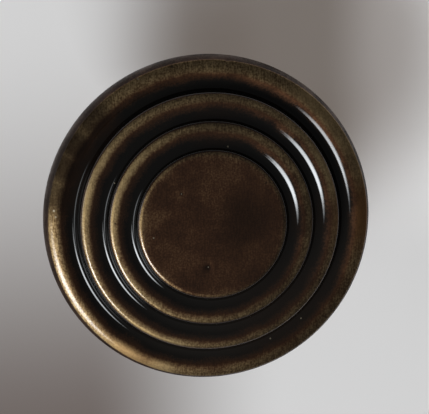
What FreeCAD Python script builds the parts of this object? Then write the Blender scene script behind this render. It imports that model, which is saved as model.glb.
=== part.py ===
import FreeCAD, Part
import math
import os

# Cabinet knob, one casting: a round head with two raised rings between its rim and a flat centre disc,
# on a flared neck and a round foot, with a tapped hole for the screw that comes through the drawer front.
# Millimetres. +Z runs out of the drawer front, and the origin is the middle of the foot's flat face.

# Head, seen from the front
HEAD_DIAMETER = 32.0
PROJECTION = 25.0
DISC_RADIUS = 7.12
RING_PITCH = 2.70

# Levels of the rings' crests, each below the crest inside it, and the fall of each crest to its outer edge
INNER_RING_DROP = 0.55
OUTER_RING_DROP = 0.67
RIM_DROP = 1.10
CREST_FALL = 0.11

# One groove: a steep wall on its inner side, down to a gutter, and a gentle slope up to the crest outside it.
# The slopes lie flatter from the innermost groove to the outermost.
WALL_RUN = 0.53
GROOVE_DEPTH = 0.53
INNER_SLOPE_ANGLE = 25.5
MIDDLE_SLOPE_ANGLE = 25.0
OUTER_SLOPE_ANGLE = 22.5
SHOULDER_ROUND = 0.60
GUTTER_FILLET = 0.76
CREST_ROUND = 1.65

# Rim: a bevel outside its crest, then a side that bellies out to the full diameter
BEVEL_RUN = 0.40
BEVEL_ANGLE = 28.0
BEVEL_ROUND = 1.90
SIDE_RUN = 0.42
SIDE_ANGLE = 62.0
SIDE_ROUND = 2.60
SIDE_HEIGHT = 1.80
UNDERSIDE_ANGLE = 31.0
UNDERSIDE_FILLET = 8.0

# Neck and foot
NECK_DIAMETER = 10.4
FOOT_DIAMETER = 16.0
FOOT_THICKNESS = 1.8
FOOT_EDGE_ROUND = 0.6
NECK_FOOT_FILLET = 2.1

# Tapped hole, M4 by 0.7: the wall is at the thread's minor diameter
HOLE_DIAMETER = 3.3
HOLE_DEPTH = 14.0
COUNTERSINK_DIAMETER = 4.4
DRILL_POINT_ANGLE = 118.0

# Largest share of an edge that the two rounds at its ends may take up together
ROUNDS_SHARE = 0.98


def vector(point):
    """Point (radius, height) of the section as a vector in the XZ plane."""
    return FreeCAD.Vector(point[0], 0, point[1])


def rounded_section(corners):
    """Closed face in the XZ plane through (radius, height, round) corners, each with a tangent arc."""
    count = len(corners)
    points = [vector(corner) for corner in corners]
    lengths = [points[i].distanceToPoint(points[(i + 1) % count]) for i in range(count)]
    along = [(points[(i + 1) % count] - points[i]).normalize() for i in range(count)]
    half_turns = [along[i - 1].getAngle(along[i]) / 2 for i in range(count)]
    setbacks = [corners[i][2] * math.tan(half_turns[i]) for i in range(count)]
    fits = [
        min(1.0, ROUNDS_SHARE * lengths[i] / max(setbacks[i] + setbacks[(i + 1) % count], 1e-9))
        for i in range(count)
    ]
    setbacks = [setbacks[i] * min(fits[i - 1], fits[i]) for i in range(count)]

    edges = []
    for i in range(count):
        start = points[i] + along[i] * setbacks[i]
        following = (i + 1) % count
        end = points[following] - along[i] * setbacks[following]
        edges.append(Part.LineSegment(start, end).toShape())
        if setbacks[following] > 0:
            corner = points[following]
            radius = setbacks[following] / math.tan(half_turns[following])
            inward = (along[following] - along[i]).normalize()
            middle = corner + inward * (radius / math.cos(half_turns[following]) - radius)
            leave = corner + along[following] * setbacks[following]
            edges.append(Part.Arc(end, middle, leave).toShape())
    return Part.Face(Part.Wire(edges))


def foot_and_neck(underside_height):
    """Corners from the hole's mouth out along the seat, up the neck and out to the head's lower edge."""
    neck_radius = NECK_DIAMETER / 2
    foot_radius = FOOT_DIAMETER / 2
    head_radius = HEAD_DIAMETER / 2
    neck_top = underside_height - (head_radius - neck_radius) * math.tan(math.radians(UNDERSIDE_ANGLE))
    return [
        (foot_radius, 0, 0),
        (foot_radius, FOOT_THICKNESS, FOOT_EDGE_ROUND),
        (neck_radius, FOOT_THICKNESS, NECK_FOOT_FILLET),
        (neck_radius, neck_top, UNDERSIDE_FILLET),
        (head_radius, underside_height, 0),
    ]


def rim(crest, edge_height):
    """Corners up the side of the head, over its crisp edge and up the bevel to the rim's crest."""
    head_radius = HEAD_DIAMETER / 2
    edge_radius = head_radius - SIDE_RUN
    return [
        (head_radius, edge_height - SIDE_RUN * math.tan(math.radians(SIDE_ANGLE)), SIDE_ROUND),
        (edge_radius, edge_height, 0),
        (edge_radius - BEVEL_RUN, crest - CREST_FALL, BEVEL_ROUND),
    ]


def groove(inner_edge, outer_crest, slope_angle):
    """Corners from the crest outside a groove down its slope to the gutter at the foot of its wall."""
    gutter = inner_edge + WALL_RUN
    slope_run = GROOVE_DEPTH / math.tan(math.radians(slope_angle))
    return [
        (gutter + slope_run, outer_crest, CREST_ROUND),
        (gutter, outer_crest - GROOVE_DEPTH, GUTTER_FILLET),
    ]


def rings_and_disc(rim_crest, outer_ring_crest, inner_ring_crest):
    """Corners from the rim's crest in across the rings to the middle of the disc."""
    inner_ring_edge = DISC_RADIUS + RING_PITCH
    outer_ring_edge = inner_ring_edge + RING_PITCH
    return [
        *groove(outer_ring_edge, rim_crest, OUTER_SLOPE_ANGLE),
        (outer_ring_edge, outer_ring_crest - CREST_FALL, SHOULDER_ROUND),
        *groove(inner_ring_edge, outer_ring_crest, MIDDLE_SLOPE_ANGLE),
        (inner_ring_edge, inner_ring_crest - CREST_FALL, SHOULDER_ROUND),
        *groove(DISC_RADIUS, inner_ring_crest, INNER_SLOPE_ANGLE),
        (DISC_RADIUS, PROJECTION, SHOULDER_ROUND),
        (0, PROJECTION, 0),
    ]


def tapped_hole():
    """Corners of the screw hole from its drill point on the axis out to the countersunk mouth."""
    hole_radius = HOLE_DIAMETER / 2
    mouth_radius = COUNTERSINK_DIAMETER / 2
    point_height = hole_radius / math.tan(math.radians(DRILL_POINT_ANGLE / 2))
    return [
        (0, HOLE_DEPTH + point_height, 0),
        (hole_radius, HOLE_DEPTH, 0),
        (hole_radius, mouth_radius - hole_radius, 0),
        (mouth_radius, 0, 0),
    ]


def knob():
    """The casting, turned from one section."""
    inner_ring_crest = PROJECTION - INNER_RING_DROP
    outer_ring_crest = inner_ring_crest - OUTER_RING_DROP
    rim_crest = outer_ring_crest - RIM_DROP
    rim_edge = rim_crest - CREST_FALL - BEVEL_RUN * math.tan(math.radians(BEVEL_ANGLE))
    section = rounded_section(
        foot_and_neck(rim_edge - SIDE_HEIGHT)
        + rim(rim_crest, rim_edge)
        + rings_and_disc(rim_crest, outer_ring_crest, inner_ring_crest)
        + tapped_hole()
    )
    return section.revolve(FreeCAD.Vector(0, 0, 0), FreeCAD.Vector(0, 0, 1), 360)


os.makedirs("parts", exist_ok=True)
casting = knob()
casting.exportStep("parts/knob.step")
print("volume", round(casting.Volume, 1), "mm3, valid", casting.isValid(), casting.ShapeType)
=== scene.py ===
import math

import bpy
from mathutils import Matrix, Vector


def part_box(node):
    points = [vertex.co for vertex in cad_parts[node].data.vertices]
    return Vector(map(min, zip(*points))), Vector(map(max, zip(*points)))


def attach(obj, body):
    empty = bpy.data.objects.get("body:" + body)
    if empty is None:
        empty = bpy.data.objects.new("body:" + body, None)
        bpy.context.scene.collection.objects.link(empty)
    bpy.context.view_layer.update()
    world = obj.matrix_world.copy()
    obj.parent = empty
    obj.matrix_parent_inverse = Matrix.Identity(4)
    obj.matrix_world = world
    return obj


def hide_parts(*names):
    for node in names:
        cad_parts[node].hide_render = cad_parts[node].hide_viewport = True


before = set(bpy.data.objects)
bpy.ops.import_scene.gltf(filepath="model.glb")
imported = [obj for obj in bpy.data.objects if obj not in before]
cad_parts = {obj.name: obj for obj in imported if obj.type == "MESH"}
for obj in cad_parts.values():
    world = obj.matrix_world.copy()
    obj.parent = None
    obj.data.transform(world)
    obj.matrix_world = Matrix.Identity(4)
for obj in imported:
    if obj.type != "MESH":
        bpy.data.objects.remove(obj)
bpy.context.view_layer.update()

# A ringed cabinet knob: one casting with a dark patina that is brushed back to brass where it stands proud,
# all under clear lacquer. Metres, in the CAD's own frame: +Z out of the drawer front, origin on the foot.
MM = 0.001

# Head, as in the CAD
HEAD_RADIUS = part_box("knob")[1].x
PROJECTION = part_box("knob")[1].z
DISC_RADIUS = 7.12 * MM
RING_PITCH = 2.70 * MM
INNER_RING_DROP = 0.55 * MM
OUTER_RING_DROP = 0.67 * MM
RIM_DROP = 1.10 * MM

# One groove, and the rounds of the relief
WALL_RUN = 0.53 * MM
GROOVE_DEPTH = 0.53 * MM
INNER_SLOPE_ANGLE = math.radians(25.5)
MIDDLE_SLOPE_ANGLE = math.radians(25)
OUTER_SLOPE_ANGLE = math.radians(22.5)
SHOULDER_ROUND = 0.60 * MM
GUTTER_FILLET = 0.76 * MM
CREST_ROUND = 1.65 * MM
CREST_FALL = 0.11 * MM

# Rim, underside, neck and foot
RIM_BEVEL_RUN = 0.40 * MM
RIM_BEVEL_ANGLE = math.radians(28)
RIM_ROUND = 1.90 * MM
RIM_EDGE_ROUND = 0.15 * MM
SIDE_RUN = 0.42 * MM
SIDE_ANGLE = math.radians(62)
SIDE_ROUND = 2.60 * MM
SIDE_HEIGHT = 1.80 * MM
SIDE_LOWER_ROUND = 0.15 * MM
UNDERSIDE_ANGLE = math.radians(31)
UNDERSIDE_FILLET = 8.0 * MM
NECK_RADIUS = 5.2 * MM
FOOT_RADIUS = 8.0 * MM
FOOT_THICKNESS = 1.8 * MM
FOOT_EDGE_ROUND = 0.6 * MM
FOOT_SEAT_ROUND = 0.25 * MM
NECK_FOOT_FILLET = 2.1 * MM

# Tapped hole, M4 by 0.7: the wall is cut at the major radius here, and the thread's ridge stands in to the
# minor radius that the CAD's hole has
MINOR_RADIUS = 1.65 * MM
MAJOR_RADIUS = 2.0 * MM
THREAD_PITCH = 0.7 * MM
THREAD_CREST = THREAD_PITCH / 4
THREAD_START = 0.55 * MM
THREAD_END = 12.4 * MM
THREAD_SINK = 0.01 * MM
HOLE_DEPTH = 14.0 * MM
COUNTERSINK_RADIUS = 2.2 * MM
DRILL_POINT_ANGLE = math.radians(118)

# Levels and edges that follow
INNER_RING_CREST = PROJECTION - INNER_RING_DROP
OUTER_RING_CREST = INNER_RING_CREST - OUTER_RING_DROP
RIM_CREST = OUTER_RING_CREST - RIM_DROP
RIM_EDGE = RIM_CREST - CREST_FALL - RIM_BEVEL_RUN * math.tan(RIM_BEVEL_ANGLE)
UNDERSIDE_HEIGHT = RIM_EDGE - SIDE_HEIGHT
INNER_RING_EDGE = DISC_RADIUS + RING_PITCH
OUTER_RING_EDGE = INNER_RING_EDGE + RING_PITCH

# Pit in the disc and nick in the rim's edge
PIT = (-0.48 * MM, -4.10 * MM)
PIT_RADIUS = 0.45 * MM
PIT_DEPTH = 0.07 * MM
PIT_RING = (math.hypot(*PIT) - PIT_RADIUS, math.hypot(*PIT) + PIT_RADIUS)
NICK_AZIMUTH = math.radians(83.4)
NICK_HALF_WIDTH = 0.28 * MM
NICK_DEPTH = 0.12 * MM

# Mesh: segments round the head, and the longest steps along the section's face, its plain parts and its arcs
HEAD_SEGMENTS = 340
FACE_STEP = 0.12 * MM
PLAIN_STEP = 0.60 * MM
ARC_STEP = math.radians(6)

# Thread's mesh: segments in a turn, and how many of them it takes to run out at each end
THREAD_SEGMENTS = 48
THREAD_RUN_OUT = 24

# How much brass shows, from 0, all patina, to 1, brushed bright. The stations are (distance, wear): from the
# axis on the disc, from the edge inside it on a ring or the rim, and above the seat on the back.
DISC_WEAR = ((DISC_RADIUS - 0.5 * MM, 0.45), (DISC_RADIUS - 0.1 * MM, 0.88))
RING_WEAR = (
    (-0.08 * MM, 0.72),
    (0.12 * MM, -0.25),
    (0.85 * MM, -0.2),
    (1.60 * MM, 0.24),
    (2.00 * MM, 0.72),
    (2.50 * MM, 1.05),
)
RIM_WEAR = (
    *RING_WEAR[:4],
    (2.05 * MM, 0.72),
    (2.55 * MM, 0.92),
    (2.85 * MM, 0.92),
    (3.04 * MM, 1.1),
    (3.14 * MM, 0.22),
)
BACK_WEAR = (
    (0.0, 0.86),
    (1.7 * MM, 0.86),
    (2.6 * MM, 0.0),
    (5.0 * MM, 0.62),
    (16.0 * MM, 0.62),
    (20.0 * MM, 0.0),
)
THREAD_WEAR = 0.5

# How much of the surface the lacquer covers
FACE_LACQUER = 1.0
RIM_LACQUER = 0.75
THIN_LACQUER = 0.12

# Marks that the photograph shows, with painted light and shade among them, as (x, y, radius) in millimetres
# and
# strength: pale chips in the patina; dark stains, dull patches on the disc's right and on the inner ring's
# top and right, and painted shade over the head's lower right; patches where the brass is brighter on the
# head's left, right and upper right, and a painted highlight on the rim's lower left; and tan ones
CHIPS = (
    (-3.02, 3.13, 0.09, 1), (-5.70, -1.07, 0.11, 1), (-0.44, -4.08, 0.09, 1), (6.05, -12.00, 0.12, 0.4),
    (9.10, -10.05, 0.10, 0.7), (1.53, 7.46, 0.09, 1), (-6.86, 13.89, 0.14, 1), (-9.30, 4.10, 0.08, 1),
    (-15.02, 1.34, 0.16, 1), (-14.86, 0.75, 0.12, 1),
)
STAINS_AND_PAINTED_SHADE = (
    (-0.48, -4.10, 0.55, 0.8), (-3.02, 3.13, 0.24, 0.8), (5.12, 4.00, 0.18, 0.8), (-9.32, 0.30, 0.15, 0.8),
    (-3.60, 15.00, 0.25, 0.8), (2.8, 0.3, 3.6, 0.5), (-11.0, 10.0, 3.2, 0.8), (-13.0, 7.6, 3.2, 0.9),
    (-14.1, 5.4, 3.2, 0.9), (-14.8, 2.8, 3.0, 0.8), (0.5, 9.1, 3.6, 0.35), (9.1, 0.5, 3.6, 0.4),
    (8.0, -10.0, 9.5, 0.35),
)
BRIGHTER_PATCHES_AND_PAINTED_HIGHLIGHT = (
    (-7.0, -13.3, 6.0, 0.95), (-9.0, 3.5, 8.0, 0.5), (13.0, 5.5, 6.0, 0.5), (11.0, 11.0, 5.0, 0.55),
)
TAN_PATCHES = ((15.0, 0.3, 5.0, 1), (-7.5, -13.2, 4.0, 0.5))
MARK_CORE = 0.2

# Colours of the finish: the soot pales towards the head's lower right as painted fill light, and the other
# pairs follow the noise
SOOT_WITH_PAINTED_FILL = ((0.0115, 0.0095, 0.0078, 1), (0.004, 0.0035, 0.003, 1))
BROWN = ((0.054, 0.0215, 0.01, 1), (0.105, 0.046, 0.021, 1))
DULL_BRASS = ((0.095, 0.058, 0.023, 1), (0.31, 0.215, 0.105, 1))
BRIGHT_BRASS_AND_HIGHLIGHT = (0.44, 0.31, 0.145, 1)
TAN_BRASS = (0.22, 0.105, 0.034, 1)
STAIN_AND_SHADE_COLOUR = (0.011, 0.005, 0.0025, 1)
CHIP = (0.30, 0.25, 0.175, 1)

# Wear at which each layer starts to show and at which it is complete
BROWN_SHOWS = (-0.1, 0.75)
BRASS_SHOWS = (0.46, 1.1)
METAL_SHOWS = (0.0, 0.5)

# Noise of the finish: the size of its features and the part of its range that is used
HAIR_SIZE = 0.06 * MM
HAIR_STRETCH = (1, 12, 12)
HAIR_RANGE = (0.2, 0.8)
MOTTLE_SIZE = 0.18 * MM
MOTTLE_RANGE = (0.25, 0.75)
CLOUD_SIZE = 2.6 * MM
CLOUD_RANGE = (0.3, 0.7)
FLECK_RANGE = (0.78, 1.24)

# How far the noise shifts the wear and shades the brown, and how far the wear is raised towards the head's
# upper left as painted light, so that side shows lighter
MOTTLE_SHIFT = 0.08
CLOUD_SHIFT = 0.09
PAINTED_LEAN_SHIFT = 0.08
UPPER_LEFT = (-0.5, 0.87, 0)
FLECK_SHADE = 0.6
CLOUD_SHADE = 0.4

# Gloss, and the relief of the lacquer and of the scratches under it
METAL_ROUGHNESS = (0.42, 0.50)
SCRATCH_STRENGTH = 0.6
SCRATCH_HEIGHT = 0.004 * MM
SWELL_SIZE = 0.7 * MM
SWELL_HEIGHT = 0.0035 * MM
LACQUER_ROUGHNESS = 0.05
LACQUER_IOR = 1.5

# Surface under the knob, with painted shade at its lower left and above the knob, and a painted glow of light
# over it that is stronger at its upper right. A patch is its x edges and its y edges, each as where it is 0
# and where it is 1, in millimetres, and the first of two colours is the one outside the patches.
FLOOR_HALF_WIDTH = 0.5
FLOOR_ROUGHNESS = 0.6
PAINTED_SHADE_LOWER_LEFT = (((12, -11), (-60, -32)), ((20, -30), (-75, -45)))
PAINTED_SHADE_ABOVE = (((-14, 2), (10, 0)), ((4, 14), (48, 26)))
PAINTED_SHADE_ABOVE_STRENGTH = 0.6
PAINTED_LIGHT_UPPER_RIGHT = (((15, 23), (65, 38)), ((-10, 3), (60, 34)))
FLOOR_AND_PAINTED_SHADE_COLOURS = ((0.86, 0.86, 0.86, 1), (0.057, 0.053, 0.061, 1))
FLOOR_PAINTED_GLOWS = ((0.09, 0.066, 0.049, 1), (0.23, 0.205, 0.19, 1))

# Room, and its lamps as (name, azimuth, elevation, width, height, radiance), in degrees and metres. A lamp is
# dark at the first and full at the second distance from its middle, where its sides are 0 and 1.
ROOM_GREY = (0.075, 0.075, 0.075, 1)
LAMPS = (
    ("window", 228, 47, 1.5, 1.3, 15.5),
    ("curtain", 215, 47, 1.4, 1.1, 6.5),
    ("low_window", 183, 26, 2.2, 0.95, 2.8),
)
LAMP_DISTANCE = 2.5
LAMP_MIDDLE = (0.5, 0.5, 0)
LAMP_FADE = (0.5, 0.2)
DAYLIGHT = (0.92, 0.965, 1)

# Camera, read off the photograph: how far it leans off the knob's axis, which way, and its scale
PHOTO_WIDTH = 429
CAMERA_TILT = math.radians(13.0)
CAMERA_AZIMUTH = math.radians(126)
CAMERA_DISTANCE = 180 * MM
DISC_PIXELS_PER_MM = 10.48
AIM_OFFSET = (0.15 * MM, 1.79 * MM)
SENSOR_WIDTH = 36
CAMERA_CLIP = (0.01, 10)


def groove(inner_edge, outer_crest, slope_angle):
    """Corners at the gutter, where a groove's wall meets its slope, and at the crest outside it."""
    gutter = inner_edge + WALL_RUN
    return [
        (gutter, outer_crest - GROOVE_DEPTH, GUTTER_FILLET),
        (gutter + GROOVE_DEPTH / math.tan(slope_angle), outer_crest, CREST_ROUND),
    ]


def section_corners():
    """(radius, height, round) from the middle of the disc round the casting to the end of its hole."""
    neck_top = UNDERSIDE_HEIGHT - (HEAD_RADIUS - NECK_RADIUS) * math.tan(UNDERSIDE_ANGLE)
    point_height = MINOR_RADIUS / math.tan(DRILL_POINT_ANGLE / 2)
    return [
        (0, PROJECTION, 0),
        (PIT_RING[0], PROJECTION, 0),
        (PIT_RING[1], PROJECTION, 0),
        (DISC_RADIUS, PROJECTION, SHOULDER_ROUND),
        *groove(DISC_RADIUS, INNER_RING_CREST, INNER_SLOPE_ANGLE),
        (INNER_RING_EDGE, INNER_RING_CREST - CREST_FALL, SHOULDER_ROUND),
        *groove(INNER_RING_EDGE, OUTER_RING_CREST, MIDDLE_SLOPE_ANGLE),
        (OUTER_RING_EDGE, OUTER_RING_CREST - CREST_FALL, SHOULDER_ROUND),
        *groove(OUTER_RING_EDGE, RIM_CREST, OUTER_SLOPE_ANGLE),
        (HEAD_RADIUS - SIDE_RUN - RIM_BEVEL_RUN, RIM_CREST - CREST_FALL, RIM_ROUND),
        (HEAD_RADIUS - SIDE_RUN, RIM_EDGE, RIM_EDGE_ROUND),
        (HEAD_RADIUS, RIM_EDGE - SIDE_RUN * math.tan(SIDE_ANGLE), SIDE_ROUND),
        (HEAD_RADIUS, UNDERSIDE_HEIGHT, SIDE_LOWER_ROUND),
        (NECK_RADIUS, neck_top, UNDERSIDE_FILLET),
        (NECK_RADIUS, FOOT_THICKNESS, NECK_FOOT_FILLET),
        (FOOT_RADIUS, FOOT_THICKNESS, FOOT_EDGE_ROUND),
        (FOOT_RADIUS, 0, FOOT_SEAT_ROUND),
        (COUNTERSINK_RADIUS, 0, 0),
        (MAJOR_RADIUS, COUNTERSINK_RADIUS - MAJOR_RADIUS, 0),
        (MAJOR_RADIUS, THREAD_END, 0),
        (MINOR_RADIUS, THREAD_END, 0),
        (MINOR_RADIUS, HOLE_DEPTH, 0),
        (0, HOLE_DEPTH + point_height, 0),
    ]


def longest_step(start, end):
    """Longest step for a straight run: fine on the face, but not on the disc outside its pit's ring."""
    level_disc = end.y == PROJECTION and end.x != PIT_RING[1]
    return PLAIN_STEP if start.y <= UNDERSIDE_HEIGHT or level_disc else FACE_STEP


def rounded_section(corners):
    """Points along the section's straight runs and the tangent arcs at its corners."""
    places = [Vector(corner[:2]) for corner in corners]
    section = [places[0]]

    def run_to(end):
        start = section[-1]
        count = max(1, math.ceil((end - start).length / longest_step(start, end)))
        section.extend(start.lerp(end, i / count) for i in range(1, count + 1))

    for before, corner, after, (_, _, radius) in zip(places, places[1:], places[2:], corners[1:]):
        into = (corner - before).normalized()
        turn = into.angle_signed((after - corner).normalized())
        start = corner - into * radius * math.tan(abs(turn) / 2)
        run_to(start)
        if radius:
            centre = start + Vector((into.y, -into.x)) * math.copysign(radius, turn)
            count = math.ceil(abs(turn) / ARC_STEP)
            for i in range(1, count + 1):
                section.append(centre + Matrix.Rotation(-turn * i / count, 2) @ (start - centre))
    run_to(places[-1])
    return section


def interpolated(stations, place):
    """Value at the place, on straight lines between the (place, value) stations and level beyond them."""
    for (start, low), (end, high) in zip(stations, stations[1:]):
        if place < end:
            return low + (high - low) * max(0.0, place - start) / (end - start)
    return stations[-1][1]


def wear(place):
    """How much brass shows at a point of the section, given as (radius, height)."""
    if place.y < UNDERSIDE_HEIGHT:
        return interpolated(BACK_WEAR, place.y)
    edges = (DISC_RADIUS, INNER_RING_EDGE, OUTER_RING_EDGE)
    nearest = max((edge for edge in edges if place.x > edge + RING_WEAR[0][0]), default=None)
    if nearest is None:
        return interpolated(DISC_WEAR, place.x)
    return interpolated(RIM_WEAR if nearest == OUTER_RING_EDGE else RING_WEAR, place.x - nearest)


def lacquer(place):
    """How much lacquer lies at a point of the section: less on the rim, and little on the side and back."""
    if place.x > HEAD_RADIUS - SIDE_RUN - RIM_EDGE_ROUND / 2 or place.y < UNDERSIDE_HEIGHT:
        return THIN_LACQUER
    return RIM_LACQUER if place.x > OUTER_RING_EDGE + WALL_RUN / 2 else FACE_LACQUER


def new_object(name, data):
    """An object in the scene that shows the mesh, light or camera."""
    made = bpy.data.objects.new(name, data)
    bpy.context.scene.collection.objects.link(made)
    return made


def new_piece(name, vertices, faces, coats, material):
    """A smooth-shaded mesh object that rides on the knob's body, with its coats' amounts at its vertices."""
    mesh = bpy.data.meshes.new(name)
    mesh.from_pydata(vertices, [], faces)
    mesh.polygons.foreach_set("use_smooth", [True] * len(faces))
    for coat, amounts in coats.items():
        mesh.attributes.new(coat, "FLOAT", "POINT").data.foreach_set("value", amounts)
    mesh.materials.append(material)
    piece = new_object(name, mesh)
    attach(piece, "root")
    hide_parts("knob")


def dented(x, y, z):
    """The point as the pit in the disc and the nick in the rim's edge leave it."""
    from_pit = math.hypot(x - PIT[0], y - PIT[1])
    if z == PROJECTION and from_pit < PIT_RADIUS:
        return x, y, z - PIT_DEPTH * (1 - (from_pit / PIT_RADIUS) ** 2)
    along_edge = (math.atan2(y, x) - NICK_AZIMUTH) * HEAD_RADIUS
    if RIM_EDGE - SIDE_RUN < z < RIM_CREST and abs(along_edge) < NICK_HALF_WIDTH:
        cut = NICK_DEPTH * (1 - abs(along_edge) / NICK_HALF_WIDTH) / HEAD_RADIUS
        return x - x * cut, y - y * cut, z
    return x, y, z


def casting(material):
    """The whole casting, turned from its section."""
    section = rounded_section(section_corners())
    rings = section[1:-1]
    turns = [math.tau * i / HEAD_SEGMENTS for i in range(HEAD_SEGMENTS)]
    vertices = [(0, 0, section[0].y)]
    for place in rings:
        vertices.extend(dented(place.x * math.cos(turn), place.x * math.sin(turn), place.y) for turn in turns)
    vertices.append((0, 0, section[-1].y))
    coats = {
        coat: [amount(section[0]), *(amount(place) for place in rings for _ in turns), amount(section[-1])]
        for coat, amount in (("wear", wear), ("lacquer", lacquer))
    }

    last = len(vertices) - 1
    faces = []
    for i in range(HEAD_SEGMENTS):
        j = (i + 1) % HEAD_SEGMENTS
        faces.append((0, 1 + i, 1 + j))
        for k in range(len(rings) - 1):
            inner = 1 + k * HEAD_SEGMENTS
            outer = inner + HEAD_SEGMENTS
            faces.append((inner + i, outer + i, outer + j, inner + j))
        faces.append((last, last - HEAD_SEGMENTS + j, last - HEAD_SEGMENTS + i))
    new_piece("knob_casting", vertices, faces, coats, material)


def thread(material):
    """The right-hand thread's ridge, which stands in from the hole's wall and runs out at both ends."""
    root = (THREAD_PITCH - THREAD_CREST) / 2
    crest = THREAD_CREST / 2
    wall = MAJOR_RADIUS + THREAD_SINK
    steps = round((THREAD_END - THREAD_START) / THREAD_PITCH * THREAD_SEGMENTS)
    vertices = []
    for step in range(steps + 1):
        turn = math.tau * step / THREAD_SEGMENTS
        middle = THREAD_START + THREAD_PITCH * step / THREAD_SEGMENTS
        full = min(1.0, step / THREAD_RUN_OUT, (steps - step) / THREAD_RUN_OUT)
        top = MAJOR_RADIUS - (MAJOR_RADIUS - MINOR_RADIUS) * full
        profile = ((wall, -root), (top, -crest), (top, crest), (wall, root))
        for radius, rise in profile:
            vertices.append((radius * math.cos(turn), radius * math.sin(turn), middle + rise))
    count = len(profile)
    faces = [
        (i, i + 1, i + count + 1, i + count)
        for step in range(steps)
        for i in range(step * count, (step + 1) * count - 1)
    ]
    coats = {"wear": [THREAD_WEAR] * len(vertices), "lacquer": [THIN_LACQUER] * len(vertices)}
    new_piece("screw_thread", vertices, faces, coats, material)


def fill(tree, node, sockets):
    """Links each named socket of the node to the socket given for it, or sets it to the value."""
    for name, value in sockets.items():
        if isinstance(value, bpy.types.NodeSocket):
            tree.links.new(value, node.inputs[name])
        else:
            node.inputs[name].default_value = value


def add(tree, kind, sockets=None, **settings):
    """A shader node with its settings made and its sockets filled."""
    made = tree.nodes.new("ShaderNode" + kind)
    for name, value in settings.items():
        setattr(made, name, value)
    fill(tree, made, sockets or {})
    return made


def mix(tree, factor, first, second):
    """Colour between the first and the second by the factor."""
    made = add(tree, "Mix", {0: factor, 6: first, 7: second}, data_type="RGBA")
    return made.outputs[2]


def fade(tree, value, low, high, to_low=0.0, to_high=1.0):
    """Smooth step from to_low, where the value is low, to to_high, where it is high."""
    sockets = {"Value": value, "From Min": low, "From Max": high, "To Min": to_low, "To Max": to_high}
    return add(tree, "MapRange", sockets, interpolation_type="SMOOTHSTEP").outputs["Result"]


def maths(tree, operation, first, second):
    """The operation's result on two numbers."""
    return add(tree, "Math", {0: first, 1: second}, operation=operation).outputs["Value"]


def vector_maths(tree, operation, first, second, output="Vector"):
    """The operation's result on two vectors, or with the output "Value" the number that it gives."""
    return add(tree, "VectorMath", {0: first, 1: second}, operation=operation).outputs[output]


def attribute(tree, name):
    """The number that the mesh carries under that name."""
    return add(tree, "Attribute", attribute_name=name).outputs["Fac"]


def grain(tree, place, size, detail, stretch=(1, 1, 1)):
    """Noise about 0.5, with features of the given size in metres, longer along an axis by its stretch."""
    scale = tuple(1 / (size * s) for s in stretch)
    spread = add(tree, "Mapping", {"Vector": place, "Scale": scale}).outputs["Vector"]
    return add(tree, "TexNoise", {"Vector": spread, "Scale": 1.0, "Detail": detail}).outputs["Fac"]


def marks(tree, place, spots):
    """Each (x, y, radius, strength) spot's strength at its middle on the face, falling to 0 at its edge."""
    flat = vector_maths(tree, "MULTIPLY", place, (1, 1, 0))
    shown = 0.0
    for x, y, radius, strength in spots:
        away = vector_maths(tree, "DISTANCE", flat, (x * MM, y * MM, 0), "Value")
        spot = fade(tree, away, MARK_CORE * radius * MM, radius * MM, strength, 0)
        shown = maths(tree, "MAXIMUM", spot, shown)
    height = add(tree, "SeparateXYZ", {"Vector": place}).outputs["Z"]
    return maths(tree, "MULTIPLY", fade(tree, height, UNDERSIDE_HEIGHT, RIM_EDGE), shown)


def new_material(name):
    """A material with its node tree and its Principled shader."""
    material = bpy.data.materials.new(name)
    material.use_nodes = True
    return material, material.node_tree, material.node_tree.nodes["Principled BSDF"]


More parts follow.
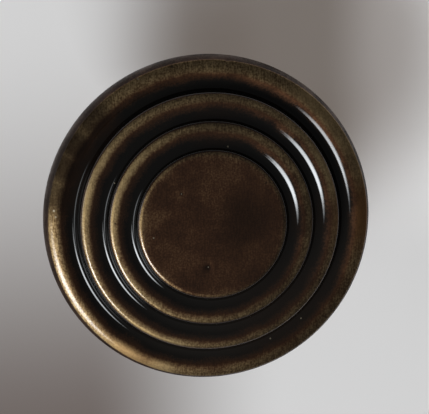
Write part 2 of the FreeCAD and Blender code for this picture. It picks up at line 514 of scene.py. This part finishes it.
def antique_brass():
    """Black patina, then brown film, then brass as the wear attribute rises, all under clear lacquer."""
    material, tree, shader = new_material("antique_brass")
    place = add(tree, "TexCoord").outputs["Object"]
    worn = attribute(tree, "wear")

    # Brushing runs along Y over the whole face, and leaves the patina mottled
    hairs = grain(tree, place, HAIR_SIZE, detail=3, stretch=HAIR_STRETCH)
    mottle = grain(tree, place, MOTTLE_SIZE, detail=4)
    cloud = grain(tree, place, CLOUD_SIZE, detail=3)
    fleck = fade(tree, maths(tree, "ADD", hairs, mottle), *FLECK_RANGE)
    ragged = fade(tree, mottle, *MOTTLE_RANGE, -MOTTLE_SHIFT, MOTTLE_SHIFT)
    drifted = fade(tree, cloud, *CLOUD_RANGE, -CLOUD_SHIFT, CLOUD_SHIFT)
    across = vector_maths(tree, "DOT_PRODUCT", place, UPPER_LEFT, "Value")
    # Painted light: the wear is raised towards the head's upper left, so that side shows lighter
    painted_lean = fade(tree, across, -HEAD_RADIUS, HEAD_RADIUS, -PAINTED_LEAN_SHIFT, PAINTED_LEAN_SHIFT)
    edge = maths(tree, "ADD", maths(tree, "ADD", worn, ragged), maths(tree, "ADD", drifted, painted_lean))

    # The layers from the lowest wear up, and the marks on them
    # Painted fill light: the soot is paler towards the head's lower right
    soot_with_painted_fill = mix(tree, fade(tree, across, -HEAD_RADIUS, 0), *SOOT_WITH_PAINTED_FILL)
    cloud_shade = fade(tree, cloud, *CLOUD_RANGE, 0.0, CLOUD_SHADE)
    brown = mix(tree, maths(tree, "ADD", maths(tree, "MULTIPLY", fleck, FLECK_SHADE), cloud_shade), *BROWN)
    dull_brass = mix(tree, fleck, *DULL_BRASS)
    # Brighter brass on the head's left, right and upper right, and a painted highlight on the rim's lower
    # left
    brighter_and_highlit = mix(tree, marks(tree, place, BRIGHTER_PATCHES_AND_PAINTED_HIGHLIGHT), dull_brass, BRIGHT_BRASS_AND_HIGHLIGHT)
    brass = mix(tree, marks(tree, place, TAN_PATCHES), brighter_and_highlit, TAN_BRASS)
    film = mix(tree, fade(tree, edge, *BROWN_SHOWS), soot_with_painted_fill, brown)
    plain = mix(tree, fade(tree, edge, *BRASS_SHOWS), film, brass)
    # Dark stains and dull patches, and painted shade over the head's lower right
    stained_and_shaded = mix(tree, marks(tree, place, STAINS_AND_PAINTED_SHADE), plain, STAIN_AND_SHADE_COLOUR)
    chipped = mix(tree, marks(tree, place, CHIPS), stained_and_shaded, CHIP)

    # The lacquer isn't quite level, and the brass under it is scratched where it is worn
    swell = grain(tree, place, SWELL_SIZE, detail=2)
    swollen = add(tree, "Bump", {
        "Strength": 1.0,
        "Distance": SWELL_HEIGHT,
        "Height": swell,
    }).outputs["Normal"]
    scratched = add(tree, "Bump", {
        "Strength": SCRATCH_STRENGTH,
        "Distance": SCRATCH_HEIGHT,
        "Height": maths(tree, "MULTIPLY", hairs, worn),
        "Normal": swollen,
    }).outputs["Normal"]

    fill(tree, shader, {
        "Base Color": chipped,
        "Metallic": fade(tree, edge, *METAL_SHOWS),
        "Roughness": fade(tree, hairs, *HAIR_RANGE, *METAL_ROUGHNESS),
        "Normal": scratched,
        "Specular IOR Level": 0.0,
        "Coat Weight": attribute(tree, "lacquer"),
        "Coat Roughness": LACQUER_ROUGHNESS,
        "Coat IOR": LACQUER_IOR,
        "Coat Normal": swollen,
    })
    return material


def patch(tree, place, x_edges, y_edges):
    """1 inside soft edges, each given in millimetres as where it is 0 and where it is 1."""
    sides = add(tree, "SeparateXYZ", {"Vector": place}).outputs
    shown = 1.0
    for axis, edges in (("X", x_edges), ("Y", y_edges)):
        for outside, inside in edges:
            shown = maths(tree, "MULTIPLY", fade(tree, sides[axis], outside * MM, inside * MM), shown)
    return shown


def floor():
    """Pale surface that the knob stands on, with painted shade in its colour and painted light glowing from
    it.
    """
    half = FLOOR_HALF_WIDTH
    mesh = bpy.data.meshes.new("floor")
    corners = [(-half, -half, 0), (half, -half, 0), (half, half, 0), (-half, half, 0)]
    mesh.from_pydata(corners, [], [(0, 1, 2, 3)])
    material, tree, shader = new_material("pale_surface")
    place = add(tree, "TexCoord").outputs["Object"]
    # Painted shade: darker patches at the lower left and above the knob
    above = maths(tree, "MULTIPLY", patch(tree, place, *PAINTED_SHADE_ABOVE), PAINTED_SHADE_ABOVE_STRENGTH)
    painted_shade = maths(tree, "MAXIMUM", patch(tree, place, *PAINTED_SHADE_LOWER_LEFT), above)
    fill(tree, shader, {
        "Base Color": mix(tree, painted_shade, *FLOOR_AND_PAINTED_SHADE_COLOURS),
        # Painted light: a warm glow over the whole surface, stronger at its upper right
        "Emission Color": mix(tree, patch(tree, place, *PAINTED_LIGHT_UPPER_RIGHT), *FLOOR_PAINTED_GLOWS),
        "Emission Strength": 1.0,
        "Roughness": FLOOR_ROUGHNESS,
    })
    mesh.materials.append(material)
    piece = new_object("floor", mesh)


def direction(azimuth, elevation):
    """Unit vector at the azimuth from +X and the elevation above the floor."""
    return Vector((
        math.cos(azimuth) * math.cos(elevation),
        math.sin(azimuth) * math.cos(elevation),
        math.sin(elevation),
    ))


def facing(target, back, distance, up):
    """Placement that faces the target from the distance along the back vector, with up upright."""
    right = up.cross(back).normalized()
    turned = Matrix((right, back.cross(right), back)).transposed().to_4x4()
    return Matrix.Translation(target + back * distance) @ turned


def lamp(name, azimuth, elevation, width, height, radiance):
    """A soft box that faces the knob's head, of that radiance at its middle, where 1 is white."""
    light = bpy.data.lights.new(name, "AREA")
    light.shape = "ELLIPSE"
    light.size, light.size_y = width, height
    area = math.pi / 4 * width * height
    light.energy = math.pi * area * radiance
    light.color = DAYLIGHT
    light.use_nodes = True
    tree = light.node_tree
    spread = add(tree, "NewGeometry").outputs["Parametric"]
    off_middle = vector_maths(tree, "DISTANCE", spread, LAMP_MIDDLE, "Value")
    fill(tree, tree.nodes["Emission"], {"Strength": fade(tree, off_middle, *LAMP_FADE)})
    back = direction(math.radians(azimuth), math.radians(elevation))
    head = Vector((0, 0, PROJECTION))
    new_object(name, light).matrix_world = facing(head, back, LAMP_DISTANCE, Vector((0, 0, 1)))


def room():
    """Windows at the photograph's lower left, in a room that is dark above the knob."""
    world = bpy.data.worlds.new("room")
    world.use_nodes = True
    world.node_tree.nodes["Background"].inputs["Color"].default_value = ROOM_GREY
    bpy.context.scene.world = world
    for settings in LAMPS:
        lamp(*settings)


def camera():
    """Looks down on the knob as the photograph does, with +X to the right and +Y up."""
    data = bpy.data.cameras.new("camera")
    data.sensor_width = SENSOR_WIDTH
    data.lens = DISC_PIXELS_PER_MM / MM * CAMERA_DISTANCE * SENSOR_WIDTH / PHOTO_WIDTH
    data.clip_start, data.clip_end = CAMERA_CLIP
    back = direction(CAMERA_AZIMUTH, math.pi / 2 - CAMERA_TILT)
    aim = Vector((*AIM_OFFSET, PROJECTION))
    piece = new_object("camera", data)
    piece.matrix_world = facing(aim, back, CAMERA_DISTANCE, Vector((0, 1, 0)))
    bpy.context.scene.camera = piece


brass = antique_brass()
casting(brass)
thread(brass)
floor()
room()
camera()
bpy.context.scene.view_settings.view_transform = "Standard"
